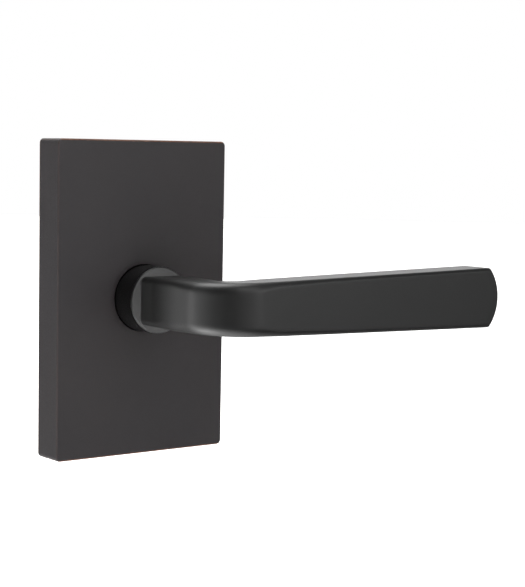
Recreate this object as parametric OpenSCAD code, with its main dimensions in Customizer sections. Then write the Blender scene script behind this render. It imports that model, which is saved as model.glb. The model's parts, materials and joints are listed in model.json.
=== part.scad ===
// Door lever handle on a rectangular rose, with a sprung cassette behind the rose cover.
// Two threaded posts behind the rose take the bolts that come through the door.
// Frame: the door's face is the plane y = 0, the lever turns about the Y axis,
// -Y points into the room, +X is the way the lever points and +Z is up.

/* [Rose] */
// Width of the rose cover
rose_w = 63.5; // [60:0.5:76]
// Height of the rose cover
rose_h = 101.6; // [90:0.1:130]
// Depth of the rose cover, from the door's face to its front
rose_d = 12; // [12:0.5:16]
// Thickness of the cover's front wall
cover_front = 1.8; // [1.5:0.1:1.8]
// Thickness of the cover's side walls
cover_wall = 2.2; // [1.6:0.1:3]

/* [Lever] */
// Radius of the round neck
neck_r = 10.7; // [10.5:0.1:11]
// Length of the round neck in front of the rose
neck_len = 10.2; // [9:0.1:14]
// Distance from the front of the rose to the front of the grip
reach = 51.7; // [45:0.1:60]
// Distance from the lever's axis to the tip of the grip
grip_len = 109.7; // [95:0.1:125]
// Thickness of the bar
bar_t = 13.6; // [12.6:0.1:13.8]
// Height of the bar where it leaves the neck
bar_h = 16.2; // [14.5:0.1:16.4]
// Height of the bar at the tip
tip_h = 20.4; // [18:0.1:24]
// Radius of the tip's arc, seen from the front
tip_arc_r = 15; // [13:0.5:20]
// Radius of the outside of the bend
bend_r = 17; // [14.5:0.5:20]

/* [Mechanism] */
// Width across the square spindle
spindle_w = 8; // [7:0.1:8]
// Length of the spindle behind the door's face
spindle_tail = 45; // [30:1:70]
// Distance between the two threaded posts
post_spacing = 38.1; // [38:0.1:41]
// Core diameter of the thread in the posts
thread_d = 3.3; // [3:0.1:4]
// Length of the posts behind the door's face
post_len = 14; // [8:0.5:30]
// Largest turn of the lever to each side, in degrees
turn = 45; // [30:1:45]

/* [Hidden] */
$fn = 64;

fit_gap = 0.05;     // radial clearance of a turning fit
slack = 0.3;        // clearance between pieces that pass each other
hole_gap = 0.15;    // clearance of a screw in its hole
eps = 0.01;         // overshoot of a cutting shape

// Rose cover, and the ring behind its hole that the neck runs in
rose_front = -rose_d;
cover_inside = rose_front + cover_front;
cover_hole_r = neck_r + 0.2;
bushing_r = neck_r + 3.2;
bushing_t = 0.6;

// Lever
neck_end = rose_front - neck_len;
grip_front = rose_front - reach;
bar_side = bar_t / 2;
neck_overlap = 1;

// Mounting plate
plate_t = 1.6;
plate_w = 56;
plate_h = 92;
plate_corner_r = 4;

// Spring housing: a shallow cup with a pocket that opens downward, and a flange
housing_front = -9.3;
housing_floor = 1;
housing_inside = housing_front + housing_floor;
housing_wall = 1.5;
housing_r = 12.5;
pocket_r = 20.2;
pocket_half_angle = 65;
wall_angle = 3.6;           // widens the pocket's outside by this per millimetre of wall
flange_t = 1.5;
flange_front = -plate_t - flange_t;
flange_half_w = 13;
flange_top = 22;
flange_bottom = -29;
flange_corner_r = 3;

// Screws that hold the housing to the plate
housing_screw_x = 8;
housing_screw_z = [18.5, -26];
housing_screw_r = 1.25;
housing_screw_head_r = 2.4;
housing_screw_head_t = 1.5;
slot_w = 0.7;
slot_half_len = 1.5;

// Shank of the lever, which runs through the cassette, and its two bearings
neck_back = housing_front - 0.25;
shank_r = 8;
shank_front = neck_end + 1.6;
shank_back = 4;
front_bearing_r = shank_r + 1.1;
rear_bearing_r = shank_r + 1.4;
spindle_front = shank_front + 0.2;
key_w = 3;
key_depth = 1.6;
key_gap = 0.1;

// Torsion spring: the wire, the coil, and the two legs that point down from its ends
wire_r = 0.8;
wire_sides = 8;
coil_r = 10.6;
coil_pitch = 1.7;
coil_turn = 720;
coil_step = 14;
coil_front = housing_inside + wire_r + 0.1;
coil_back = coil_front + coil_pitch * coil_turn / 360;
front_leg_end = -18.5;
back_leg_end = -16.8;
leg_bend = 3;
bend_angle = 18;

// Drive hub: a sleeve, and a web behind the spring whose two prongs hold the spring's back leg
hub_r = 9.3;
hub_front = housing_inside + 0.1;
web_t = 1.3;
web_back = -plate_t - 0.2;
web_front = web_back - web_t;
web_half_w = 2.35;
web_r = 19;
web_root = 9;
prong_front = web_front - 1.9;
prong_r = [13.8, 16.2];
prong_x = wire_r + 2 * fit_gap;

// Pins that hold the spring's front leg, and the pins that stop the web
anchor_pin_r = 1.2;
anchor_x = wire_r + anchor_pin_r + 2 * fit_gap;
anchor_z = -16;
anchor_back = -6.5;
stop_r = 17.5;
stop_pin_r = 1.5;
stop_margin = 1;
stop_angle = turn + asin(web_half_w / stop_r) + asin(stop_pin_r / stop_r) + stop_margin;

// Spring-steel clips on the plate that grip the cover's end walls, and their rivets
clip_w = 24;
clip_t = 0.6;
clip_depth = 6;
clip_foot = 9.6;
clip_end_z = rose_h / 2 - cover_wall - fit_gap;
rivet_x = 8;
rivet_z = clip_end_z - 7;
rivet_r = 1.4;
rivet_head_r = 2.4;
rivet_head_t = 0.8;

// Threaded posts: a sleeve behind the plate, a neck in its hole and a swaged flange in front
post_r = 3.6;
post_neck_r = 2.9;
post_flange_r = 4.2;
post_flange_t = 1;
post_chamfer = 0.4;

// Washers and ring that hold the shank behind the plate
thrust_r = 12;
thrust_t = 0.7;
wave_r = 11.4;
wave_t = 0.6;
stack_gap = 0.1;
ring_front = thrust_t + wave_t + hole_gap;
ring_t = 1.1;
ring_r = 10.2;
ring_mouth = 3;
groove_r = 7.2;

// Set screw in the underside of the neck
set_screw_r = 3;
set_screw_y = rose_front - 4.2;
set_screw_tip = -spindle_w / 2 - fit_gap;
set_screw_end = -neck_r + 1;
socket_af = 3;
socket_depth = 2.5;

// A cylinder along Y, from y0 to y1.
module y_cylinder(r, y0, y1) {
    translate([0, y1, 0]) rotate([90, 0, 0]) cylinder(r = r, h = y1 - y0);
}

// A ring along Y.
module y_ring(r_in, r_out, y0, y1) {
    difference() {
        y_cylinder(r_out, y0, y1);
        y_cylinder(r_in, y0 - eps, y1 + eps);
    }
}

// A flat shape drawn in X and Z, made thick from y0 to y1.
module y_extrude(y0, y1) {
    translate([0, y1, 0]) rotate([90, 0, 0]) linear_extrude(height = y1 - y0) children();
}

// A rectangle centred on the origin with round corners.
module round_rect(w, h, r) {
    square([w - 2 * r, h], center = true);
    square([w, h - 2 * r], center = true);
    for (sx = [-1, 1], sz = [-1, 1])
        translate([sx * (w / 2 - r), sz * (h / 2 - r)]) circle(r = r);
}

// A sector of radius r that opens downward by half_angle to each side.
module down_sector(r, half_angle) {
    intersection() {
        circle(r = r);
        polygon([
            [0, 0],
            [-2 * r * sin(half_angle), -2 * r * cos(half_angle)],
            [-2 * r, -3 * r],
            [2 * r, -3 * r],
            [2 * r * sin(half_angle), -2 * r * cos(half_angle)]
        ]);
    }
}

// ---- Fixed to the door ----

module rose_cover() {
    color("#39383a") difference() {
        translate([-rose_w / 2, rose_front, -rose_h / 2]) cube([rose_w, rose_d, rose_h]);
        translate([-rose_w / 2 + cover_wall, cover_inside, -rose_h / 2 + cover_wall])
            cube([rose_w - 2 * cover_wall, rose_d, rose_h - 2 * cover_wall]);
        y_cylinder(cover_hole_r, rose_front - eps, cover_inside + eps);
    }
}

module neck_bushing() {
    color("#141414") y_ring(neck_r + fit_gap, bushing_r, cover_inside, cover_inside + bushing_t);
}

module mounting_plate() {
    color("silver") difference() {
        y_extrude(-plate_t, 0) round_rect(plate_w, plate_h, plate_corner_r);
        y_cylinder(rear_bearing_r, -plate_t - eps, eps);
        for (s = [-1, 1]) {
            translate([s * post_spacing / 2, 0, 0])
                y_cylinder(post_neck_r, -plate_t - eps, eps);
            for (z = housing_screw_z)
                translate([s * housing_screw_x, 0, z])
                    y_cylinder(housing_screw_r + fit_gap, -plate_t - eps, eps);
            for (z = [-1, 1])
                translate([s * rivet_x, 0, z * rivet_z])
                    y_cylinder(rivet_r, -plate_t - eps, eps);
        }
    }
}

// Outline of the housing's hollow, grown outward by wall.
module housing_outline(wall) {
    circle(r = housing_r + wall);
    down_sector(pocket_r + wall, pocket_half_angle + wall_angle * wall);
}

module spring_housing() {
    color("#8d9094") difference() {
        union() {
            y_extrude(housing_front, -plate_t) housing_outline(housing_wall);
            y_extrude(flange_front, -plate_t)
                translate([0, (flange_top + flange_bottom) / 2])
                    round_rect(2 * flange_half_w, flange_top - flange_bottom, flange_corner_r);
        }
        y_extrude(housing_inside, -plate_t + eps) housing_outline(0);
        y_cylinder(front_bearing_r, housing_front - eps, housing_inside + eps);
        for (s = [-1, 1], z = housing_screw_z)
            translate([s * housing_screw_x, 0, z])
                y_cylinder(housing_screw_r + hole_gap, flange_front - eps, -plate_t + eps);
    }
}

module housing_screws() {
    head_front = flange_front - housing_screw_head_t;
    color("#b9bcc0") for (s = [-1, 1], z = housing_screw_z)
        translate([s * housing_screw_x, 0, z]) difference() {
            union() {
                y_cylinder(housing_screw_r, flange_front, 0);
                y_cylinder(housing_screw_head_r, head_front, flange_front);
            }
            for (a = [0, 90])
                rotate([0, a, 0])
                    translate([-slot_half_len, head_front - eps, -slot_w / 2])
                        cube([2 * slot_half_len, housing_screw_head_t / 2, slot_w]);
        }
}

module front_bearing() {
    color("#e8e6dc") y_ring(shank_r + fit_gap, front_bearing_r, housing_front, housing_inside);
}

module rear_bearing() {
    color("#e8e6dc") y_ring(shank_r + fit_gap, rear_bearing_r, -plate_t, 0);
}

// Points of the spring's wire: up one leg, round the coil and down the other leg.
function coil_point(a) = [coil_r * sin(a), coil_front + coil_pitch * a / 360, -coil_r * cos(a)];
function bezier(p, q, r, t) = (1 - t) * (1 - t) * p + 2 * t * (1 - t) * q + t * t * r;
function leg_points(y, end_z, coil_end) = concat(
    [[0, y, end_z]],
    [for (t = [0 : 0.2 : 0.8]) bezier([0, y, -coil_r - leg_bend], [0, y, -coil_r], coil_end, t)]
);
function reversed(list) = [for (i = [len(list) - 1 : -1 : 0]) list[i]];
wire_path = concat(
    leg_points(coil_front, front_leg_end, coil_point(bend_angle)),
    [for (a = [bend_angle : coil_step : coil_turn - bend_angle]) coil_point(a)],
    reversed(leg_points(coil_back, back_leg_end, coil_point(coil_turn - bend_angle)))
);

// A round wire of radius r swept along a path of points.
module swept_wire(path, r, sides) {
    n = len(path);
    rings = [
        for (i = [0 : n - 1])
            let (
                ahead = path[min(i + 1, n - 1)] - path[max(i - 1, 0)],
                dir = ahead / norm(ahead),
                side_raw = cross(dir, [0, 1, 0]),
                side = side_raw / norm(side_raw),
                other = cross(side, dir)
            )
            for (k = [0 : sides - 1])
                path[i] + r * (cos(360 * k / sides) * side + sin(360 * k / sides) * other)
    ];
    caps = [
        [for (k = [0 : sides - 1]) k],
        [for (k = [sides - 1 : -1 : 0]) (n - 1) * sides + k]
    ];
    walls = [
        for (i = [0 : n - 2], k = [0 : sides - 1])
            let (a = i * sides + k, b = i * sides + (k + 1) % sides)
            [a, a + sides, b + sides, b]
    ];
    polyhedron(points = rings, faces = concat(caps, walls), convexity = 6);
}

module torsion_spring() {
    color("#9aa0a6") swept_wire(wire_path, wire_r, wire_sides);
}

module spring_anchor_pins() {
    color("#b9bcc0") for (s = [-1, 1])
        translate([s * anchor_x, 0, anchor_z])
            y_cylinder(anchor_pin_r, housing_inside, anchor_back);
}

module stop_pins() {
    color("#b9bcc0") for (s = [-1, 1])
        translate([s * stop_r * sin(stop_angle), 0, -stop_r * cos(stop_angle)])
            y_cylinder(stop_pin_r, housing_inside, -plate_t);
}

// An angle of spring steel: a foot on the plate and a blade along the cover's upper wall.
module cover_clip() {
    color("#a3a7ab") difference() {
        union() {
            translate([-clip_w / 2, -plate_t - clip_t, clip_end_z - clip_foot])
                cube([clip_w, clip_t, clip_foot]);
            translate([-clip_w / 2, -plate_t - clip_depth, clip_end_z - clip_t])
                cube([clip_w, clip_depth, clip_t]);
        }
        for (s = [-1, 1])
            translate([s * rivet_x, 0, rivet_z])
                y_cylinder(rivet_r, -plate_t - clip_t - eps, -plate_t + eps);
    }
}

module upper_cover_clip() {
    cover_clip();
}

module lower_cover_clip() {
    mirror([0, 0, 1]) cover_clip();
}

module clip_rivets() {
    color("#c8cacc") for (s = [-1, 1], z = [-1, 1])
        translate([s * rivet_x, 0, z * rivet_z]) {
            y_cylinder(rivet_r, -plate_t - clip_t, 0);
            y_cylinder(rivet_head_r, -plate_t - clip_t - rivet_head_t, -plate_t - clip_t);
        }
}

module threaded_posts() {
    color("#b9bcc0") for (s = [-1, 1])
        translate([s * post_spacing / 2, 0, 0]) difference() {
            union() {
                y_cylinder(post_flange_r, -plate_t - post_flange_t, -plate_t);
                y_cylinder(post_neck_r, -plate_t - eps, eps);
                y_cylinder(post_r, 0, post_len - post_chamfer);
                translate([0, post_len - post_chamfer, 0]) rotate([-90, 0, 0])
                    cylinder(r1 = post_r, r2 = post_r - post_chamfer, h = post_chamfer);
            }
            y_cylinder(thread_d / 2, -plate_t - post_flange_t - eps, post_len + eps);
        }
}

// ---- Turns with the lever ----

// Plan of the bar, in X and Y: out of the neck, round the bend and along the grip.
module bar_plan() {
    bend_x = bend_r - bar_side;
    bend_y = grip_front + bend_r;
    translate([-bar_side, bend_y]) square([bar_t, neck_end + neck_overlap - bend_y]);
    translate([bend_x, grip_front]) square([grip_len - bend_x, bar_t]);
    difference() {
        intersection() {
            translate([bend_x, bend_y]) circle(r = bend_r);
            translate([-bar_side, grip_front]) square(bend_r);
        }
        translate([bend_x, bend_y]) circle(r = bend_r - bar_t);
    }
}

// Front view of the bar, in X and Z: it flares to the tip, which ends in an arc.
module bar_front() {
    arc_x = grip_len - tip_arc_r;
    intersection() {
        polygon([
            [-bar_side, bar_h / 2], [0, bar_h / 2], [grip_len, tip_h / 2],
            [grip_len, -tip_h / 2], [0, -bar_h / 2], [-bar_side, -bar_h / 2]
        ]);
        union() {
            translate([-bar_side, -tip_h]) square([arc_x + bar_side, 2 * tip_h]);
            translate([arc_x, 0]) circle(r = tip_arc_r);
        }
    }
}

// Threaded hole for the set screw, from below the neck up to the lever's axis.
module set_screw_hole() {
    translate([0, set_screw_y, -neck_r - 1]) cylinder(r = set_screw_r, h = neck_r + 1);
}

module lever_handle() {
    color("#1c1c1d") difference() {
        union() {
            y_cylinder(neck_r, neck_end, neck_back);
            intersection() {
                translate([0, 0, -tip_h]) linear_extrude(height = 2 * tip_h) bar_plan();
                y_extrude(grip_front - 1, neck_end + neck_overlap) bar_front();
            }
        }
        y_cylinder(shank_r, shank_front, neck_back + eps);
        set_screw_hole();
    }
}

module lever_shank() {
    bore_w = spindle_w + 2 * fit_gap;
    color("#a9823f") difference() {
        y_cylinder(shank_r, shank_front, shank_back);
        translate([-bore_w / 2, shank_front - eps, -bore_w / 2])
            cube([bore_w, shank_back - shank_front + 2 * eps, bore_w]);
        y_ring(groove_r, shank_r + 1, ring_front, ring_front + ring_t + stack_gap);
        for (s = [-1, 1])
            translate([s * (shank_r - key_depth / 2), (housing_inside + shank_back) / 2, 0])
                cube([key_depth + eps, shank_back - housing_inside + eps, key_w], center = true);
        set_screw_hole();
    }
}

module drive_hub() {
    color("#c2a05a") {
        y_ring(shank_r + fit_gap, hub_r, hub_front, web_back);
        for (s = [-1, 1])
            translate([s * (shank_r + fit_gap - key_depth / 2), (hub_front + web_back) / 2, 0])
                cube([key_depth, web_back - hub_front, key_w - key_gap], center = true);
        translate([-web_half_w, web_front, -web_r])
            cube([2 * web_half_w, web_t, web_r - web_root]);
        for (s = [-1, 1])
            translate([s < 0 ? -web_half_w : prong_x, prong_front, -prong_r[1]])
                cube([web_half_w - prong_x, web_back - prong_front, prong_r[1] - prong_r[0]]);
    }
}

module spindle() {
    color("#b9bcc0") translate([-spindle_w / 2, spindle_front, -spindle_w / 2])
        cube([spindle_w, spindle_tail - spindle_front, spindle_w]);
}

module set_screw() {
    color("#1c1c1d") translate([0, set_screw_y, set_screw_end]) difference() {
        cylinder(r = set_screw_r - fit_gap, h = set_screw_tip - set_screw_end);
        translate([0, 0, -eps]) cylinder(r = socket_af / sqrt(3), h = socket_depth, $fn = 6);
    }
}

module thrust_washer() {
    color("#e8e6dc") y_ring(shank_r + stack_gap, thrust_r, fit_gap, thrust_t);
}

module wave_washer() {
    color("#9aa0a6") y_ring(shank_r + stack_gap, wave_r, thrust_t + fit_gap, thrust_t + wave_t);
}

module retaining_ring() {
    color("#3c3e40") difference() {
        y_ring(groove_r + fit_gap, ring_r, ring_front + fit_gap, ring_front + ring_t);
        translate([-ring_mouth / 2, ring_front - 1, 0]) cube([ring_mouth, ring_t + 2, ring_r + 1]);
    }
}

rose_cover();
neck_bushing();
mounting_plate();
spring_housing();
housing_screws();
front_bearing();
rear_bearing();
torsion_spring();
spring_anchor_pins();
stop_pins();
upper_cover_clip();
lower_cover_clip();
clip_rivets();
threaded_posts();
lever_handle();
lever_shank();
drive_hub();
spindle();
set_screw();
thrust_washer();
wave_washer();
retaining_ring();
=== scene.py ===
"""Door lever handle: the looks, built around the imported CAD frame.

Frame: the door's face is y = 0, the lever turns about the Y axis, -Y is the room, +X the way
the lever points, +Z up. Shapes are worked out in millimetres and scaled to metres by MM.
"""

import json
import math

import bmesh
import bpy
from mathutils import Matrix, Vector


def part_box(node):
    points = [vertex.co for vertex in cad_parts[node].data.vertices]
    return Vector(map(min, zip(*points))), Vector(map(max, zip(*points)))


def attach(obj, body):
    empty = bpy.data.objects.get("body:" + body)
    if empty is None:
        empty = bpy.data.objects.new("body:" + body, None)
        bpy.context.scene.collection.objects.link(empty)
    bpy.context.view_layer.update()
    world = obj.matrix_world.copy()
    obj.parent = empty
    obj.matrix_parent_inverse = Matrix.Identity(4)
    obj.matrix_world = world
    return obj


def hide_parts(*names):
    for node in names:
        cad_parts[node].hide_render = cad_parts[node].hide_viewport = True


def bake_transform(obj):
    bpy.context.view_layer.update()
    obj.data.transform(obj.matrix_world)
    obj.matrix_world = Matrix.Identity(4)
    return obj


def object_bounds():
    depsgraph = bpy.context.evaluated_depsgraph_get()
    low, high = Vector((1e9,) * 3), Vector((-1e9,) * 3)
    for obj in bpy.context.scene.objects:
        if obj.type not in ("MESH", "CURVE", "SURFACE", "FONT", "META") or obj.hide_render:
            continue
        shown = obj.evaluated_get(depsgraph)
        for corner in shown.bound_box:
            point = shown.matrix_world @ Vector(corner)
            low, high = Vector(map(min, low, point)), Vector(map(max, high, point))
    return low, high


MM = 0.001
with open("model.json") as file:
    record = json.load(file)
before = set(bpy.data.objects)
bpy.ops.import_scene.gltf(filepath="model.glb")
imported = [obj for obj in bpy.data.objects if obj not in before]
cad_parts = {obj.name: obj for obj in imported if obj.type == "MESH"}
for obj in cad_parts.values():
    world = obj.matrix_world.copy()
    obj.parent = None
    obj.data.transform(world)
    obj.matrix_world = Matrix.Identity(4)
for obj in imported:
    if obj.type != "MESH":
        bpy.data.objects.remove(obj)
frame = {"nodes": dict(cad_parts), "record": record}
cad_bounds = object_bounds()


def box_mm(node):
    """Lowest and highest corners of a CAD node, in millimetres."""
    low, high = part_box(node)
    return low / MM, high / MM


# ---- Sizes that the looks share with the CAD model, in millimetres ----

rose_low, rose_high = box_mm("rose_cover")
lever_low, lever_high = box_mm("lever_handle")
shank_low, shank_high = box_mm("lever_shank")

ROSE_WALL = 2.2
ROSE_FRONT_WALL = 1.8
ROSE_EDGE_R = 0.55
ROSE_CORNER_R = 1.5
COVER_HOLE_R = 10.8

NECK_R = 10.7
NECK_END = -21.9
NECK_RIM_R = 0.6
CONE_RISE = 0.5
CONE_SLOPE = 0.2
SHANK_R = shank_high.x

BAR_SIDE = 6.8
FOOT_SWELL = 0.8        # how much thicker the bar's foot is on each side
FOOT_LENGTH = 7.0       # how far that swelling reaches from the neck
FULL_HEIGHT_FROM = 2.0  # distances from the neck between which the bar reaches its height
FULL_HEIGHT_AT = 16.0
BEND_R = 17.0
GRIP_FRONT = lever_low.y
GRIP_LEN = lever_high.x
NECK_HALF_H = 7.75
ROOT_HALF_H = 8.1
TIP_HALF_H = 10.2
TIP_ARC_R = 15.0
TIP_CORNER_R = 1.5
TIP_EDGE_R = 1.3
TIP_START = 96.0
FLARE = (TIP_HALF_H - ROOT_HALF_H) / GRIP_LEN

# Radius of the bar's long edges against the distance along its middle line.
EDGE_RADII = [
    (0, 2.0), (5, 2.0), (14, 2.6), (26, 3.5), (36, 3.0), (50, 1.8), (70, 1.4), (118, TIP_EDGE_R),
]

record = frame["record"]
slot_of = {part["node"]: part["material_slot"] for part in record["subparts"]}
body_of = {node: body for body, nodes in record["behaviour"]["bodies"].items() for node in nodes}


# ---- Mesh tools ----


def ramp(value, start, end):
    """0 up to start, 1 from end on, and smooth between them."""
    t = min(1.0, max(0.0, (value - start) / (end - start)))
    return t * t * (3 - 2 * t)


def place_mesh(name, mesh, work, sharp_deg):
    """Writes a bmesh back to its mesh and links it as an object, smooth up to an angle."""
    work.to_mesh(mesh)
    work.free()
    mesh.shade_smooth()
    mesh.set_sharp_from_angle(angle=math.radians(sharp_deg))
    piece = bpy.data.objects.new(name, mesh)
    bpy.context.scene.collection.objects.link(piece)
    return piece


def make_piece(name, verts, faces, sharp_deg=35):
    """An object from points in millimetres, welded, with outward normals and smooth shading."""
    mesh = bpy.data.meshes.new(name)
    mesh.from_pydata([Vector(v) * MM for v in verts], [], faces)
    work = bmesh.new()
    work.from_mesh(mesh)
    bmesh.ops.remove_doubles(work, verts=work.verts, dist=0.0005 * MM)
    bmesh.ops.dissolve_degenerate(work, edges=work.edges, dist=0.0005 * MM)
    bmesh.ops.recalc_face_normals(work, faces=work.faces)
    return place_mesh(name, mesh, work, sharp_deg)


def loft(rings, caps=True, loop=False):
    """Points and faces of a skin over rings that have the same number of points."""
    count = len(rings[0])
    verts = [p for ring in rings for p in ring]
    faces = []
    last = len(rings) if loop else len(rings) - 1
    for i in range(last):
        a, b = i * count, (i + 1) % len(rings) * count
        for k in range(count):
            n = (k + 1) % count
            faces.append((a + k, a + n, b + n, b + k))
    if caps and not loop:
        faces.append(tuple(range(count)))
        faces.append(tuple((len(rings) - 1) * count + k for k in range(count)))
    return verts, faces


def rect_outline(half_w, half_h, radius, corner_steps, w_steps, h_steps):
    """Points of a rounded rectangle in order, from the start of its first corner."""
    points = []
    for quarter, (sx, sy) in enumerate([(1, 1), (-1, 1), (-1, -1), (1, -1)]):
        centre = Vector((sx * (half_w - radius), sy * (half_h - radius)))
        for k in range(corner_steps + 1):
            a = math.radians(90 * (quarter + k / corner_steps))
            points.append(centre + radius * Vector((math.cos(a), math.sin(a))))
        steps = w_steps if quarter % 2 == 0 else h_steps
        along = Vector([(-1, 0), (0, -1), (1, 0), (0, 1)][quarter])
        length = 2 * ((half_w if quarter % 2 == 0 else half_h) - radius)
        start = points[-1]
        points += [start + along * length * k / steps for k in range(1, steps)]
    return points


def circle_like(outline, r):
    """A circle with one point in the direction of each point of an outline."""
    return [p.normalized() * r for p in outline]


def at_y(outline, y):
    """An outline drawn in X and Z, as points at that y."""
    return [Vector((p.x, y, p.y)) for p in outline]


def circle(r, steps=64):
    turn = 2 * math.pi / steps
    return [Vector((r * math.cos(k * turn), r * math.sin(k * turn))) for k in range(steps)]


def lathe(profile, centre=(0, 0), steps=64, closed=False):
    """A skin turned about a line along Y through centre, from (radius, y) points."""
    cx, cz = centre
    rings = [
        [Vector((cx + p.x, y, cz + p.y)) for p in circle(r, steps)]
        for r, y in profile
    ]
    return loft(rings, caps=not closed, loop=closed)


def tube(points, radius, sides):
    """A round wire along points, with flat ends."""
    side = None
    rings = []
    for i, p in enumerate(points):
        ahead = (points[min(i + 1, len(points) - 1)] - points[max(i - 1, 0)]).normalized()
        if side is None:
            side = ahead.cross(Vector((0, 1, 0))).normalized()
        side = (side - ahead * side.dot(ahead)).normalized()
        other = ahead.cross(side)
        turn = 2 * math.pi / sides
        rings.append([
            p + radius * (math.cos(k * turn) * side + math.sin(k * turn) * other)
            for k in range(sides)
        ])
    return loft(rings)


def join_shapes(shapes):
    """Several (verts, faces) shapes as one."""
    verts, faces = [], []
    for shape_verts, shape_faces in shapes:
        base = len(verts)
        verts += list(shape_verts)
        faces += [tuple(base + k for k in f) for f in shape_faces]
    return verts, faces


def cut(piece, cutter_verts, cutter_faces):
    """Takes a closed shape out of a piece that has no modifiers yet."""
    cutter = make_piece("cutter", cutter_verts, cutter_faces)
    modifier = piece.modifiers.new("cut", "BOOLEAN")
    modifier.object = cutter
    modifier.operation = "DIFFERENCE"
    modifier.solver = "EXACT"
    bpy.context.view_layer.update()
    result = bpy.data.meshes.new_from_object(
        piece.evaluated_get(bpy.context.evaluated_depsgraph_get()))
    piece.modifiers.clear()
    piece.data = result
    bpy.data.objects.remove(cutter)


def ring_section(r_in, r_out, y0, y1, chamfer):
    """Section of a turned ring with chamfered edges, for a closed lathe()."""
    c = chamfer
    return [
        (r_in + c, y0), (r_out - c, y0), (r_out, y0 + c), (r_out, y1 - c),
        (r_out - c, y1), (r_in + c, y1), (r_in, y1 - c), (r_in, y0 + c),
    ]


def pin_section(r, y0, y1, chamfer):
    return [(r - chamfer, y0), (r, y0 + chamfer), (r, y1 - chamfer), (r - chamfer, y1)]


def dome(r, y_base, y_top, steps=6):
    """Section of a domed head, from its crown down to its rim."""
    turns = [math.radians(84 * (1 - k / steps)) for k in range(steps + 1)]
    return [(r * math.cos(a), y_base + (y_top - y_base) * math.sin(a)) for a in turns]


def thread_rings(root, crest, start, end, pitch, steps=32, rows=6):
    """Rings (angle order, then along the axis) of a screw thread, as (x, along, z) points."""
    count = max(2, round(abs(end - start) / pitch * rows))
    rings = []
    for i in range(count + 1):
        along = start + (end - start) * i / count
        fade = min(1.0, 2 * min(abs(along - start), abs(end - along)) / pitch)
        ring = []
        for k, p in enumerate(circle(1, steps)):
            phase = (along / pitch - k / steps) % 1
            r = root + (crest - root) * fade * (1 - abs(2 * phase - 1))
            ring.append(Vector((r * p.x, along, r * p.y)))
        rings.append(ring)
    return rings


def moved(shape, x=0.0, z=0.0):
    """A (verts, faces) shape shifted in X and Z."""
    verts, faces = shape
    return [v + Vector((x, 0, z)) for v in verts], faces


def softened(node, width):
    """A copy of a CAD node whose sharp edges are rounded off over width millimetres."""
    mesh = frame["nodes"][node].data.copy()
    work = bmesh.new()
    work.from_mesh(mesh)
    bmesh.ops.remove_doubles(work, verts=work.verts, dist=0.001 * MM)
    bmesh.ops.dissolve_limit(
        work, angle_limit=math.radians(0.5), verts=work.verts, edges=work.edges)
    sharp = [
        edge for edge in work.edges
        if len(edge.link_faces) == 2 and edge.calc_face_angle() > math.radians(30)
    ]
    bmesh.ops.bevel(
        work, geom=sharp, offset=width * MM, offset_type="OFFSET", segments=2, profile=0.6,
        affect="EDGES", clamp_overlap=True)
    return place_mesh(node + "_finished", mesh, work, sharp_deg=50)


def finish_piece(piece, node, between=None):
    """Lets a piece stand for a CAD node, with the material of that node's slot; it joins the node's
    body, unless between is given, when its place is baked into its mesh and it joins no body.
    """
    slot = slot_of[node]
    piece.data.materials.clear()
    piece.data.materials.append(MATERIALS[slot])
    if between:
        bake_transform(piece)
    else:
        piece.modifiers.new("flat_faces", "WEIGHTED_NORMAL").keep_sharp = True
        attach(piece, body_of[node])
    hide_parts(node)


# ---- Materials ----


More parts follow.
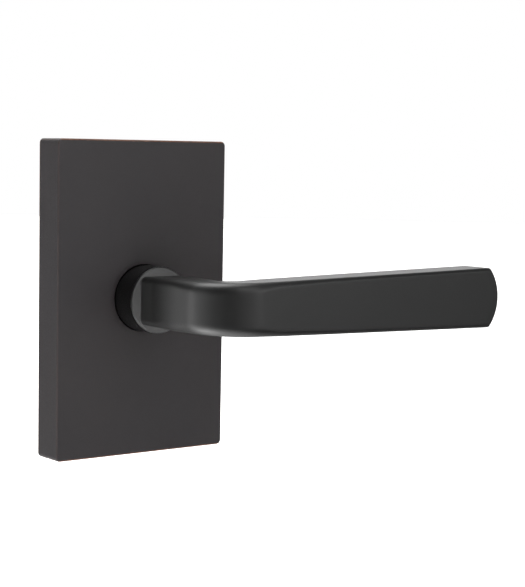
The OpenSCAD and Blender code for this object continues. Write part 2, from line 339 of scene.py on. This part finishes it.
class Nodes:
    """A new material, and short ways to add and link its nodes."""

    def __init__(self, name):
        self.material = bpy.data.materials.new(name)
        self.material.use_nodes = True
        self.tree = self.material.node_tree
        self.shader = self.tree.nodes["Principled BSDF"]
        self.place = self.add("ShaderNodeTexCoord").outputs["Object"]

    def add(self, kind, **values):
        node = self.tree.nodes.new(kind)
        for key, value in values.items():
            setattr(node, key, value)
        return node

    def link(self, source, target):
        self.tree.links.new(source, target)

    def noise(self, scale, detail=3.0, roughness=0.5, stretch=None):
        """Noise on the object's own coordinates, with scale in cells per metre."""
        node = self.add("ShaderNodeTexNoise")
        node.inputs["Scale"].default_value = scale
        node.inputs["Detail"].default_value = detail
        node.inputs["Roughness"].default_value = roughness
        if stretch:
            mapping = self.add("ShaderNodeMapping")
            mapping.inputs["Scale"].default_value = stretch
            self.link(self.place, mapping.inputs["Vector"])
            self.link(mapping.outputs["Vector"], node.inputs["Vector"])
        else:
            self.link(self.place, node.inputs["Vector"])
        return node.outputs["Fac"]

    def spread(self, source, low, high, from_low=0.3, from_high=0.7):
        """Maps from_low to low and from_high to high; noise mostly lies between 0.3 and 0.7."""
        node = self.add("ShaderNodeMapRange")
        node.inputs["From Min"].default_value = from_low
        node.inputs["From Max"].default_value = from_high
        node.inputs["To Min"].default_value = low
        node.inputs["To Max"].default_value = high
        self.link(source, node.inputs["Value"])
        return node.outputs["Result"]

    def blend(self, factor, first, second):
        """Mixes two colours, each three numbers or another node's output."""
        node = self.add("ShaderNodeMix", data_type="RGBA")
        self.link(factor, node.inputs["Factor"])
        for name, value in (("A", first), ("B", second)):
            socket = [s for s in node.inputs if s.name == name and s.type == "RGBA"][0]
            if isinstance(value, tuple):
                socket.default_value = (*value, 1)
            else:
                self.link(value, socket)
        return [s for s in node.outputs if s.type == "RGBA"][0]

    def math(self, operation, first, second=None):
        """One Math node, on numbers or other nodes' outputs."""
        node = self.add("ShaderNodeMath", operation=operation)
        for socket, value in zip(node.inputs, (first, second)):
            if isinstance(value, (int, float)):
                socket.default_value = value
            elif value is not None:
                self.link(value, socket)
        return node.outputs[0]

    def gaps(self, half_x, front_y, half_z):
        """Distances in metres from the planes x = +-half_x, y = front_y and z = +-half_z."""
        split = self.add("ShaderNodeSeparateXYZ")
        self.link(self.place, split.inputs["Vector"])
        x = self.math("SUBTRACT", half_x, self.math("ABSOLUTE", split.outputs["X"]))
        z = self.math("SUBTRACT", half_z, self.math("ABSOLUTE", split.outputs["Z"]))
        return x, self.math("SUBTRACT", split.outputs["Y"], front_y), z

    def bump(self, height, strength, distance):
        """Bumps the surface by a height, distance metres deep at full height."""
        node = self.add("ShaderNodeBump")
        node.inputs["Strength"].default_value = strength
        node.inputs["Distance"].default_value = distance
        self.link(height, node.inputs["Height"])
        self.link(node.outputs["Normal"], self.shader.inputs["Normal"])


def surface(name, color, tint, roughness, metallic=0.0, grain=2500, depth=0.02 * MM,
            strength=0.25, stretch=None):
    """A material whose colour drifts from color to tint, with a fine grain in gloss and height."""
    n = Nodes(name)
    n.link(n.blend(n.spread(n.noise(45, 4), 0.0, 1.0), color, tint), n.shader.inputs["Base Color"])
    low, high = roughness
    fine = n.noise(grain, 2, 0.6, stretch)
    n.link(n.spread(fine, low, high), n.shader.inputs["Roughness"])
    n.bump(fine, strength, depth)
    n.shader.inputs["Metallic"].default_value = metallic
    n.shader.inputs["Specular IOR Level"].default_value = 0.5
    return n


def rose_bronze():
    """Dark bronze finish that thins to copper along the outer edges."""
    n = Nodes("rose_bronze")
    cloud = n.spread(n.noise(22, 3, 0.55), 0.0, 1.0)
    base = n.blend(cloud, (0.0190, 0.0165, 0.0185), (0.0225, 0.0185, 0.0195))
    x, front, z = n.gaps(rose_high.x * MM, rose_low.y * MM, rose_high.z * MM)
    y = n.math("MINIMUM", front, n.math("SUBTRACT", -rose_low.y * MM, front))
    # An edge is where two of the three distances are small: the second smallest says how near.
    nearest = n.math("MINIMUM", x, z)
    further = n.math("MINIMUM", n.math("MAXIMUM", x, z), y)
    from_edge = n.math("MAXIMUM", nearest, further)
    worn = n.spread(from_edge, 1.0, 0.0, 0.1 * MM, 0.6 * MM)
    # The upright edges at the front are hardly worn.
    from_upright = n.math("MAXIMUM", x, front)
    spared = n.spread(from_upright, 0.08, 1.0, 0.6 * MM, 0.9 * MM)
    patchy = n.spread(n.noise(900, 3, 0.7), 0.3, 1.0)
    copper = n.math("MULTIPLY", n.math("MULTIPLY", worn, patchy), spared)
    n.link(n.blend(copper, base, (0.26, 0.105, 0.05)), n.shader.inputs["Base Color"])
    fine = n.noise(3200, 2, 0.6)
    n.link(n.spread(fine, 0.44, 0.56), n.shader.inputs["Roughness"])
    n.bump(fine, 0.2, 0.015 * MM)
    n.shader.inputs["Specular IOR Level"].default_value = 0.5
    return n.material


def lever_black():
    """Satin black coat with a fine orange peel: glossier on the neck, with a painted highlight of
    lighter grey on its end face.
    """
    n = Nodes("lever_black")
    cloud = n.spread(n.noise(30, 3), 0.0, 1.0)
    base = n.blend(cloud, (0.0018, 0.0018, 0.0018), (0.0026, 0.0026, 0.0026))
    behind = n.gaps(0, NECK_END * MM, 0)[1]
    off_neck = n.spread(behind, 1.0, 0.0, 0.0, 0.2 * MM)
    off_bar = n.spread(behind, 0.0, 1.0, -0.8 * MM, -0.4 * MM)
    uneven = n.spread(cloud, 0.7, 1.0, 0.0, 1.0)
    # Lighter grey on the neck's end face, between the rim and the bar: a painted highlight for the
    # light that face catches, not wear.
    end_face_painted_highlight = n.math("MULTIPLY", n.math("MULTIPLY", off_neck, off_bar), uneven)
    n.link(n.blend(end_face_painted_highlight, base, (0.062, 0.062, 0.062)), n.shader.inputs["Base Color"])
    fine = n.noise(2600, 2, 0.6)
    peel = n.noise(700, 1, 0.4)
    satin = n.spread(fine, 0.41, 0.49)
    neck_side = n.spread(behind, 1.0, 0.45, 0.0, 1.2 * MM)
    n.link(n.math("MULTIPLY", satin, neck_side), n.shader.inputs["Roughness"])
    n.bump(n.math("ADD", fine, peel), 0.14, 0.012 * MM)
    n.shader.inputs["Specular IOR Level"].default_value = 0.5
    return n.material


MATERIALS = {
    "rose_bronze": rose_bronze(),
    "lever_black": lever_black(),
    "black_nylon": surface(
        "black_nylon", (0.012, 0.012, 0.012), (0.018, 0.018, 0.018), (0.45, 0.6)).material,
    "white_nylon": surface(
        "white_nylon", (0.72, 0.70, 0.63), (0.80, 0.78, 0.72), (0.38, 0.5), grain=1500).material,
    "zinc_plate": surface(
        "zinc_plate", (0.58, 0.59, 0.60), (0.66, 0.66, 0.64), (0.22, 0.38), metallic=1.0,
        grain=1800, stretch=(1, 1, 0.12)).material,
    "die_cast": surface(
        "die_cast", (0.30, 0.31, 0.32), (0.38, 0.38, 0.38), (0.45, 0.62), metallic=1.0,
        grain=1100, depth=0.05 * MM, strength=0.4).material,
    "spring_steel": surface(
        "spring_steel", (0.34, 0.35, 0.37), (0.42, 0.42, 0.42), (0.2, 0.34), metallic=1.0,
        grain=3500).material,
    "brass": surface(
        "brass", (0.62, 0.43, 0.17), (0.70, 0.50, 0.22), (0.2, 0.36), metallic=1.0,
        grain=2600, stretch=(1, 0.15, 1)).material,
    "black_oxide": surface(
        "black_oxide", (0.02, 0.02, 0.022), (0.035, 0.035, 0.036), (0.3, 0.45),
        metallic=0.6).material,
}


# ---- Rose cover: a pressed box with softened edges, open at the back ----


def rose_rings():
    half_w, half_h = rose_high.x, rose_high.z
    front, back = rose_low.y, rose_high.y
    steps = (6, 14, 22)

    def outline(inset, radius):
        return rect_outline(half_w - inset, half_h - inset, radius, *steps)

    reference = outline(0, ROSE_CORNER_R)
    inside_radius, hole_chamfer, rim, edge_steps = 0.6, 0.25, 0.25, 5
    hole = circle_like(reference, COVER_HOLE_R)
    wide_hole = circle_like(reference, COVER_HOLE_R + 2)
    inside_front = front + ROSE_FRONT_WALL
    rings = [
        at_y(hole, front + hole_chamfer),
        at_y(circle_like(reference, COVER_HOLE_R + hole_chamfer), front),
        at_y(wide_hole, front),
    ]
    for k in range(edge_steps + 1):
        a = math.radians(90 * k / edge_steps)
        inset = ROSE_EDGE_R * (1 - math.sin(a))
        y = front + ROSE_EDGE_R * (1 - math.cos(a))
        rings.append(at_y(outline(inset, ROSE_CORNER_R - inset), y))
    return rings + [
        at_y(outline(0, ROSE_CORNER_R), back - rim),
        at_y(outline(rim, ROSE_CORNER_R - rim), back),
        at_y(outline(ROSE_WALL - rim, inside_radius + rim), back),
        at_y(outline(ROSE_WALL, inside_radius), back - rim),
        at_y(outline(ROSE_WALL, inside_radius), inside_front + rim),
        at_y(outline(ROSE_WALL + rim, inside_radius), inside_front),
        at_y(wide_hole, inside_front),
        at_y(hole, inside_front),
    ]


rose = make_piece("rose_shell", *loft(rose_rings(), loop=True), sharp_deg=50)
finish_piece(rose, "rose_cover")


# ---- Lever: one casting, lofted from the bore through the neck, the bend and the grip ----

SECTION_STEPS = (8, 12, 18)
BEND_X = BEND_R - BAR_SIDE
BEND_Y = GRIP_FRONT + BEND_R
BEND_LINE_R = BEND_R - BAR_SIDE
BEND_LENGTH = BEND_LINE_R * math.pi / 2
NECK_TO_BEND = NECK_END - BEND_Y


def edge_radius(along):
    """Radius of the bar's long edges at a distance along its middle line."""
    for (a, radius_a), (b, radius_b) in zip(EDGE_RADII, EDGE_RADII[1:]):
        if along <= b:
            return radius_a + (radius_b - radius_a) * ramp(along, a, b)
    return TIP_EDGE_R


def half_height(x):
    return ROOT_HALF_H + FLARE * max(0.0, x)


def bar_section(along, x):
    """The bar is a little lower and thicker where it leaves the neck."""
    rise = ramp(along, FULL_HEIGHT_FROM, FULL_HEIGHT_AT)
    half_h = half_height(x) - (ROOT_HALF_H - NECK_HALF_H) * (1 - rise)
    half_w = BAR_SIDE + FOOT_SWELL * (1 - ramp(along, 0.0, FOOT_LENGTH))
    return rect_outline(half_w, half_h, edge_radius(along), *SECTION_STEPS)


def straight_ring(y):
    """Section between the neck and the bend; its first number points out of the bend."""
    return [Vector((-p.x, y, p.y)) for p in bar_section(NECK_END - y, 0)]


def bend_ring(angle):
    c, s = math.cos(angle), math.sin(angle)
    along = NECK_TO_BEND + BEND_LINE_R * angle
    section = bar_section(along, BEND_X - BEND_LINE_R * c)
    return [
        Vector((BEND_X - (BEND_LINE_R + p.x) * c, BEND_Y - (BEND_LINE_R + p.x) * s, p.y))
        for p in section
    ]


def grip_ring(x):
    along = NECK_TO_BEND + BEND_LENGTH + x - BEND_X
    return [Vector((x, GRIP_FRONT + BAR_SIDE - p.x, p.y)) for p in bar_section(along, x)]


def neck_rings():
    """From the bottom of the bore out to the end face, and up its shallow cone to the bar."""
    section = bar_section(0, 0)
    mirrored = [Vector((-p.x, p.y)) for p in section]
    bottom, back = shank_low.y, lever_high.y
    chamfer, bore_centre_r, cone_share = 0.5, SHANK_R * 0.02, 0.75
    rings = [
        at_y(circle_like(mirrored, bore_centre_r), bottom),
        at_y(circle_like(mirrored, SHANK_R), bottom),
        at_y(circle_like(mirrored, SHANK_R), back),
        at_y(circle_like(mirrored, NECK_R - chamfer), back),
        at_y(circle_like(mirrored, NECK_R), back - chamfer),
    ]
    rim_steps = 4
    for k in range(rim_steps + 1):
        a = math.radians(90 * k / rim_steps)
        r = NECK_R - NECK_RIM_R * (1 - math.cos(a))
        rings.append(at_y(circle_like(mirrored, r), NECK_END + NECK_RIM_R * (1 - math.sin(a))))
    widths = [cone_share * max(0.0, NECK_R - NECK_RIM_R - p.length) for p in mirrored]
    cone_steps = 3
    for k in range(cone_steps + 1):
        part = k / cone_steps
        out = [p + p.normalized() * w * (1 - part) for p, w in zip(mirrored, widths)]
        rings.append([
            Vector((q.x, NECK_END - w * part * CONE_SLOPE, q.y)) for q, w in zip(out, widths)
        ])
    return rings


def tip_outline():
    """The upper half of the tip's outline: points and outward normals in X and Z."""
    slope = Vector((-FLARE, 1)).normalized()
    arc_centre = Vector((GRIP_LEN - TIP_ARC_R, 0))
    reach = TIP_ARC_R - TIP_CORNER_R
    drop = ROOT_HALF_H - TIP_CORNER_R / slope.y
    a = 1 + FLARE * FLARE
    b = 2 * (FLARE * drop - arc_centre.x)
    c = arc_centre.x**2 + drop**2 - reach**2
    corner_x = (-b + math.sqrt(b * b - 4 * a * c)) / (2 * a)
    corner = Vector((corner_x, drop + FLARE * corner_x))
    line_end = corner + TIP_CORNER_R * slope
    turn = (corner - arc_centre).normalized()
    line_steps, corner_steps, arc_steps = 8, 7, 16
    points = []
    for k in range(1, line_steps):
        x = TIP_START + (line_end.x - TIP_START) * k / line_steps
        points.append((Vector((x, half_height(x))), slope))
    first, last = math.atan2(slope.y, slope.x), math.atan2(turn.y, turn.x)
    for k in range(corner_steps + 1):
        angle = first + (last - first) * k / corner_steps
        normal = Vector((math.cos(angle), math.sin(angle)))
        points.append((corner + TIP_CORNER_R * normal, normal))
    for k in range(1, arc_steps + 1):
        angle = last * (1 - k / arc_steps)
        normal = Vector((math.cos(angle), math.sin(angle)))
        points.append((arc_centre + TIP_ARC_R * normal, normal))
    return points


def tip_shape():
    """The end of the grip: a band over the tip's outline, with a front and a back face in it."""
    corner_steps, w_steps, h_steps = SECTION_STEPS
    ring = grip_ring(TIP_START)
    along = NECK_TO_BEND + BEND_LENGTH + TIP_START - BEND_X
    top_count = 2 * (corner_steps + 1) + w_steps - 1
    section = bar_section(along, TIP_START)
    insets = [max(0.0, half_height(TIP_START) - section[k].y) for k in range(top_count)]
    half = tip_outline()
    rows = half + [(Vector((q.x, -q.y)), Vector((n.x, -n.y))) for q, n in reversed(half[:-1])]
    verts = list(ring)
    count = len(ring)

    underside = top_count + h_steps - 1
    grid = [list(range(top_count))]
    for q, normal in rows:
        row = []
        for k in range(top_count):
            p = q - insets[k] * normal
            row.append(len(verts))
            verts.append(Vector((p.x, GRIP_FRONT + BAR_SIDE - section[k].x, p.y)))
        grid.append(row)
    grid.append([underside + top_count - 1 - k for k in range(top_count)])
    faces = []
    for upper, lower in zip(grid, grid[1:]):
        for k in range(top_count - 1):
            faces.append((upper[k], upper[k + 1], lower[k + 1], lower[k]))
    middle = len(grid) // 2
    front_column = [0] + [(count - k) % count for k in range(1, h_steps)] + [grid[-1][0]]
    back_column = [top_count - 1 + k for k in range(h_steps)] + [grid[-1][top_count - 1]]
    for column, side in ((front_column, 0), (back_column, top_count - 1)):
        for i in range(1, middle + 1):
            top, bottom = grid[i][side], grid[-1 - i][side]
            if top == bottom:
                faces += [(column[k], column[k + 1], top) for k in range(h_steps)]
                break
            fresh = [top]
            for k in range(1, h_steps):
                fresh.append(len(verts))
                verts.append(verts[top].lerp(verts[bottom], k / h_steps))
            fresh.append(bottom)
            faces += [
                (column[k], column[k + 1], fresh[k + 1], fresh[k]) for k in range(h_steps)
            ]
            column = fresh
    return verts, faces


def set_screw_cutter():
    """A round bar along Z through the underside of the neck."""
    low, high = box_mm("set_screw")
    y = (low.y + high.y) / 2
    ring = circle(high.x + 0.05, 40)
    return loft([[Vector((p.x, y + p.y, z)) for p in ring] for z in (-NECK_R - 2, -1)])


def lever_shape():
    straight_steps, bend_steps, grip_steps = 12, 22, 40
    rings = neck_rings()
    first = NECK_END - CONE_RISE
    for k in range(straight_steps):
        rings.append(straight_ring(first + (BEND_Y - first) * k / straight_steps))
    for k in range(bend_steps + 1):
        rings.append(bend_ring(math.pi / 2 * k / bend_steps))
    for k in range(1, grip_steps + 1):
        rings.append(grip_ring(BEND_X + (TIP_START - BEND_X) * k / grip_steps))
    verts, faces = loft(rings)
    faces.pop()
    return join_shapes([(verts, faces), tip_shape()])


lever = make_piece("lever_casting", *lever_shape(), sharp_deg=50)
cut(lever, *set_screw_cutter())
finish_piece(lever, "lever_handle")


# ---- Turned, bent and threaded pieces behind the rose ----

RUNNING_GAP = 0.05
HEAD_R = 2.4
RIVET_R = 1.4
SCREW_R = 1.25
SCREW_HEAD_T = 1.5
RIVET_HEAD_T = 0.8
ANCHOR_PIN_R = 1.2
STOP_PIN_R = 1.5


def stand_in(node, *shapes, cutters=(), sharp_deg=40):
    """Builds a piece from shapes, cuts it, and lets it stand for a CAD node."""
    piece = make_piece(node + "_finished", *join_shapes(shapes), sharp_deg=sharp_deg)
    for cutter in cutters:
        cut(piece, *cutter)
    finish_piece(piece, node)


def turned_ring(node, r_in, chamfer):
    low, high = box_mm(node)
    section = ring_section(r_in, high.x, low.y, high.y, chamfer)
    stand_in(node, lathe(section, steps=96, closed=True))


def pair_of_pins(node, r):
    low, high = box_mm(node)
    x, z = high.x - r, (low.z + high.z) / 2
    stand_in(node, *[lathe(pin_section(r, low.y, high.y, 0.2), (s * x, z), 32) for s in (-1, 1)])


def four_places(node, r):
    """Centres in X and Z of the four round pieces of radius r that a node holds."""
    low, high = box_mm(node)
    return [(s * (high.x - r), z) for s in (-1, 1) for z in (low.z + r, high.z - r)]


def make_rivets():
    low, high = box_mm("clip_rivets")
    base = low.y + RIVET_HEAD_T
    section = dome(HEAD_R, base, low.y) + [(RIVET_R, base), (RIVET_R, high.y)]
    places = four_places("clip_rivets", HEAD_R)
    stand_in("clip_rivets", *[lathe(section, centre, 32) for centre in places])


def cross_recess(x, z, y0, y1):
    """A tapered cross for cutting a driver recess into a screw head."""
    half_w, half_l = 0.28, 1.35
    outline = [
        (half_w, half_w), (half_w, half_l), (-half_w, half_l), (-half_w, half_w),
        (-half_l, half_w), (-half_l, -half_w), (-half_w, -half_w), (-half_w, -half_l),
        (half_w, -half_l), (half_w, -half_w), (half_l, -half_w), (half_l, half_w),
    ]
    return loft([
        [Vector((x + k * px, y, z + k * pz)) for px, pz in outline]
        for y, k in ((y0, 1.0), (y1, 0.6))
    ])


def make_screws():
    low, high = box_mm("housing_screws")
    base = low.y + SCREW_HEAD_T
    crown_t, head_edge, point, recess_depth = 0.7, 0.15, 0.3, 0.8
    section = dome(HEAD_R, low.y + crown_t, low.y) + [
        (HEAD_R, base - head_edge), (HEAD_R - head_edge, base), (SCREW_R, base),
        (SCREW_R, high.y - point), (SCREW_R - point, high.y),
    ]
    places = four_places("housing_screws", HEAD_R)
    recesses = [cross_recess(x, z, low.y - 0.1, low.y + recess_depth) for x, z in places]
    stand_in("housing_screws", *[lathe(section, centre, 40) for centre in places], cutters=recesses)


def make_posts():
    """Two swaged posts: a flange, a neck, a long chamfered sleeve and a threaded bore."""
    low, high = box_mm("threaded_posts")
    flange_r, post_r, neck_r, root, crest = 4.2, 3.6, 2.9, 1.65, 1.95
    end, pitch, steps = 0.4, 0.7, 32
    outside = [
        (root + end, high.y), (post_r - end, high.y), (post_r, high.y - end), (post_r, 0),
        (neck_r, 0), (neck_r, low.y + 1), (flange_r, low.y + 0.8), (flange_r, low.y + 0.3),
        (flange_r - 0.3, low.y), (root + end, low.y),
    ]
    rings = [[Vector((r * p.x, y, r * p.y)) for p in circle(1, steps)] for r, y in outside]
    rings += thread_rings(crest, root, low.y + end, high.y - end, pitch, steps)
    shape = loft(rings, loop=True)
    stand_in("threaded_posts", *[moved(shape, s * (high.x - flange_r)) for s in (-1, 1)])


def make_set_screw():
    """A socket screw that stands along Z: the rings are built along Y and then turned."""
    low, high = box_mm("set_screw")
    r, steps, socket_af, socket_depth = high.x, 36, 3.0, 2.5
    root, pitch = r - 0.35, 1.0

    def ring(radius, z):
        return [Vector((radius * p.x, z, radius * p.y)) for p in circle(1, steps)]

    def hexagon(z, scale=1.0):
        points = []
        for k in range(steps):
            off = math.radians((360 * k / steps) % 60 - 30)
            points.append(ring(scale * socket_af / 2 / math.cos(off), z)[k])
        return points

    rings = [hexagon(low.z + socket_depth, 0.05), hexagon(low.z + socket_depth), hexagon(low.z)]
    rings += [ring(r - 0.5, low.z), ring(root, low.z + 0.15)]
    rings += thread_rings(root, r, low.z + 0.2, high.z - 1.2, pitch, steps)
    rings += [
        ring(r - 0.4, high.z - 1.1), ring(r - 1.4, high.z),
        ring(r - 1.8, high.z), ring(r - 2.2, high.z - 0.3),
    ]
    verts, faces = loft(rings)
    y = (low.y + high.y) / 2
    stand_in("set_screw", ([Vector((v.x, y + v.z, v.y)) for v in verts], faces))


def make_spindle():
    """A square bar with rolled corners and a bevelled lead at each end."""
    low, high = box_mm("spindle")
    half, corner, lead = high.x, 0.5, 1.0
    bevel = lead * 0.6
    places = [(low.y, bevel), (low.y + lead, 0), (high.y - lead, 0), (high.y, bevel)]
    stand_in("spindle", loft([
        at_y(rect_outline(half - inset, half - inset, corner, 5, 4, 4), y) for y, inset in places
    ]))


def make_wave_washer():
    """Spring washer with three waves."""
    low, high = box_mm("wave_washer")
    r_in, r_out, half_t, waves, steps = SHANK_R + 0.1, high.x, 0.13, 3, 120
    middle, swing = (low.y + high.y) / 2, (high.y - low.y) / 2 - half_t
    rings = []
    for k in range(steps):
        a = 2 * math.pi * k / steps
        y = middle + swing * math.sin(waves * a)
        rings.append([
            Vector((r * math.cos(a), y + t, r * math.sin(a)))
            for r, t in ((r_in, -half_t), (r_out, -half_t), (r_out, half_t), (r_in, half_t))
        ])
    stand_in("wave_washer", loft(rings, loop=True))


def make_retaining_ring():
    """An open ring that is widest opposite its gap and ends in two ears with plier holes."""
    low, high = box_mm("retaining_ring")
    r_in, ear_r, thin_r, thick_r, chamfer = 7.25, high.x, 9.0, 9.7, 0.12
    gap, ear, ear_end = math.radians(11), math.radians(17), math.radians(25)
    steps = 90
    rings = []
    for k in range(steps + 1):
        a = gap + (2 * math.pi - 2 * gap) * k / steps
        from_end = min(a, 2 * math.pi - a) - gap
        body_r = thin_r + (thick_r - thin_r) * ramp(from_end, 0.0, math.pi - gap)
        r_out = ear_r + (body_r - ear_r) * ramp(from_end, ear, ear_end)
        rings.append([
            Vector((r * math.sin(a), y, r * math.cos(a)))
            for r, y in ring_section(r_in, r_out, low.y, high.y, chamfer)
        ])
    hole_r, out, turn = 0.7, 8.9, gap + ear / 2
    hole = [(hole_r, low.y - 0.1), (hole_r, high.y + 0.1)]
    places = [(s * out * math.sin(turn), out * math.cos(turn)) for s in (-1, 1)]
    holes = [lathe(hole, centre, 20) for centre in places]
    stand_in("retaining_ring", loft(rings), cutters=holes, sharp_deg=35)


def make_spring():
    """Two turns of wire between a front leg that stays and a back leg that turns."""
    low, high = box_mm("torsion_spring")
    wire_r, coil_r, leg_bend, bend_angle, turn = 0.8, 10.6, 3.0, 18.0, 720.0
    front, back = low.y + wire_r, high.y - wire_r
    front_end, back_end = low.z, low.z + 1.7

    def coil(a):
        t, y = math.radians(a), front + (back - front) * a / turn
        return Vector((coil_r * math.sin(t), y, -coil_r * math.cos(t)))

    def leg(y, end_z, join):
        start, corner = Vector((0, y, -coil_r - leg_bend)), Vector((0, y, -coil_r))
        points = [Vector((0, y, end_z + (start.z - end_z) * k / 4)) for k in range(4)]
        for k in range(10):
            t = k / 10
            points.append(start * (1 - t) ** 2 + corner * 2 * t * (1 - t) + join * t * t)
        return points

    count = 170
    path = leg(front, front_end, coil(bend_angle))
    path += [coil(bend_angle + (turn - 2 * bend_angle) * k / count) for k in range(count)]
    path += reversed(leg(back, back_end, coil(turn - bend_angle)))
    spring = make_piece("torsion_spring_finished", *tube(path, wire_r, 16), sharp_deg=60)
    margin = wire_r + RUNNING_GAP
    between = [Vector((0, y, 0)) * MM for y in (front + margin, back - margin)]
    finish_piece(spring, "torsion_spring", between)


for ring_node, bore_r, ring_chamfer in [
    ("neck_bushing", NECK_R + RUNNING_GAP, 0.12),
    ("front_bearing", SHANK_R + RUNNING_GAP, 0.12),
    ("rear_bearing", SHANK_R + RUNNING_GAP, 0.15),
    ("thrust_washer", SHANK_R + 0.1, 0.12),
]:
    turned_ring(ring_node, bore_r, ring_chamfer)
for node_name, edge in [
    ("mounting_plate", 0.2), ("spring_housing", 0.3), ("upper_cover_clip", 0.15),
    ("lower_cover_clip", 0.15), ("lever_shank", 0.15), ("drive_hub", 0.15),
]:
    finish_piece(softened(node_name, edge), node_name)
pair_of_pins("spring_anchor_pins", ANCHOR_PIN_R)
pair_of_pins("stop_pins", STOP_PIN_R)
make_rivets()
make_screws()
make_posts()
make_set_screw()
make_spindle()
make_wave_washer()
make_retaining_ring()
make_spring()


# ---- Floor, light and camera ----

LIGHTS_AIM = (0.03, -0.03, 0.0)
FRONT_GLOW = 0.18
BACK_GLOW = 0.3
# Bright patches of the studio: direction, where it starts and is full (cosines), added strength.
PATCHES = [
    ((0.60, 0.79, 0.05), 0.82, 0.98, 2.1),
    ((-0.35, 0.10, -0.93), 0.50, 0.90, 3.5),
]


def make_floor():
    """A wide pale disc below the object."""
    drop, radius = 90, 4000
    level = cad_bounds[0].z / MM - drop
    verts, faces = lathe([(0.02, 0), (radius, 0)], steps=96)
    floor = make_piece("floor", [(v.x, v.z, level) for v in verts], faces)
    n = surface(
        "floor_pale", (0.86, 0.86, 0.86), (0.88, 0.88, 0.88), (0.6, 0.7), grain=400, strength=0.05)
    n.shader.inputs["Emission Color"].default_value = (1, 1, 1, 1)
    n.shader.inputs["Emission Strength"].default_value = 0.25
    floor.data.materials.append(n.material)
    floor.visible_glossy = False
    floor.visible_shadow = False


def make_world():
    """Plain white where it is seen; in reflections, a dim room with bright patches."""
    world = bpy.data.worlds.new("studio")
    bpy.context.scene.world = world
    world.use_nodes = True
    tree = world.node_tree
    tree.nodes.clear()

    def add(kind, **values):
        node = tree.nodes.new(kind)
        for key, value in values.items():
            setattr(node, key, value)
        return node

    def fade(source, start, end, first, last):
        node = add("ShaderNodeMapRange", interpolation_type="SMOOTHSTEP")
        sockets = ("From Min", "From Max", "To Min", "To Max")
        for name, value in zip(sockets, (start, end, first, last)):
            node.inputs[name].default_value = value
        tree.links.new(source, node.inputs["Value"])
        return node.outputs["Result"]

    direction = add("ShaderNodeTexCoord").outputs["Generated"]
    split = add("ShaderNodeSeparateXYZ")
    tree.links.new(direction, split.inputs["Vector"])
    total = fade(split.outputs["Y"], -0.5, 0.2, FRONT_GLOW, BACK_GLOW)
    for toward, start, full, strength in PATCHES:
        dot = add("ShaderNodeVectorMath", operation="DOT_PRODUCT")
        tree.links.new(direction, dot.inputs[0])
        dot.inputs[1].default_value = Vector(toward).normalized()
        plus = add("ShaderNodeMath", operation="ADD")
        tree.links.new(total, plus.inputs[0])
        tree.links.new(fade(dot.outputs["Value"], start, full, 0.0, strength), plus.inputs[1])
        total = plus.outputs[0]
    lit = add("ShaderNodeBackground")
    tree.links.new(total, lit.inputs["Strength"])
    seen = add("ShaderNodeBackground")
    seen.inputs["Color"].default_value = (1, 1, 1, 1)
    mix = add("ShaderNodeMixShader")
    tree.links.new(add("ShaderNodeLightPath").outputs["Is Camera Ray"], mix.inputs["Fac"])
    tree.links.new(lit.outputs["Background"], mix.inputs[1])
    tree.links.new(seen.outputs["Background"], mix.inputs[2])
    tree.links.new(mix.outputs["Shader"], add("ShaderNodeOutputWorld").inputs["Surface"])


def area_light(name, place, size, power, only=()):
    """A soft light at place that faces the object. If pieces are given, it lights only those."""
    light = bpy.data.lights.new(name, "AREA")
    light.shape = "RECTANGLE"
    light.size, light.size_y = size
    light.energy = power
    holder = bpy.data.objects.new(name, light)
    holder.location = place
    holder.rotation_mode = "QUATERNION"
    holder.rotation_quaternion = (Vector(LIGHTS_AIM) - Vector(place)).to_track_quat("-Z", "Y")
    holder.visible_camera = False
    if only:
        lit = bpy.data.collections.new(name + "_lights")
        for piece in only:
            lit.objects.link(piece)
        holder.light_linking.receiver_collection = lit
    bpy.context.scene.collection.objects.link(holder)


def make_camera():
    """A long lens at the left of the lever, a little above it."""
    azimuth, elevation, roll = math.radians(-37.11), math.radians(4.98), math.radians(1.02)
    distance, lens = 0.5641, 99.87
    target = Vector((0.0535, -0.0051, -0.0012))
    ca, sa, ce, se = math.cos(azimuth), math.sin(azimuth), math.cos(elevation), math.sin(elevation)
    back = Vector((sa * ce, -ca * ce, se))
    right = Vector((ca, sa, 0))
    up = back.cross(right)
    cr, sr = math.cos(roll), math.sin(roll)
    turned_right, turned_up = right * cr + up * sr, up * cr - right * sr
    data = bpy.data.cameras.new("camera")
    data.lens = lens
    data.clip_start, data.clip_end = 0.01, 50
    camera = bpy.data.objects.new("camera", data)
    camera.matrix_world = Matrix.Translation(target + back * distance) @ Matrix(
        (turned_right, turned_up, back)).transposed().to_4x4()
    bpy.context.scene.collection.objects.link(camera)
    bpy.context.scene.camera = camera


bpy.context.scene.view_settings.view_transform = "Standard"
make_floor()
make_world()
area_light("overhead", (0.0, 0.25, 0.65), (0.5, 0.6), 6)
area_light("front", (0.22, -1.25, 0.27), (1.5, 0.9), 4.6)
area_light("front_high", (0.05, -0.80, 0.80), (0.7, 0.5), 3.2)
area_light("left", (-1.10, 0.30, -0.10), (0.8, 1.0), 1.6)
area_light("lever_left", (-0.84, 0.72, -0.20), (0.3, 1.0), 3.8, [lever])
area_light("lever_right", (0.56, -1.06, 0.15), (0.35, 0.5), 1.9, [lever])
area_light("lever_low", (-0.40, 0.15, -0.60), (0.4, 0.4), 3.5, [lever])
make_camera()
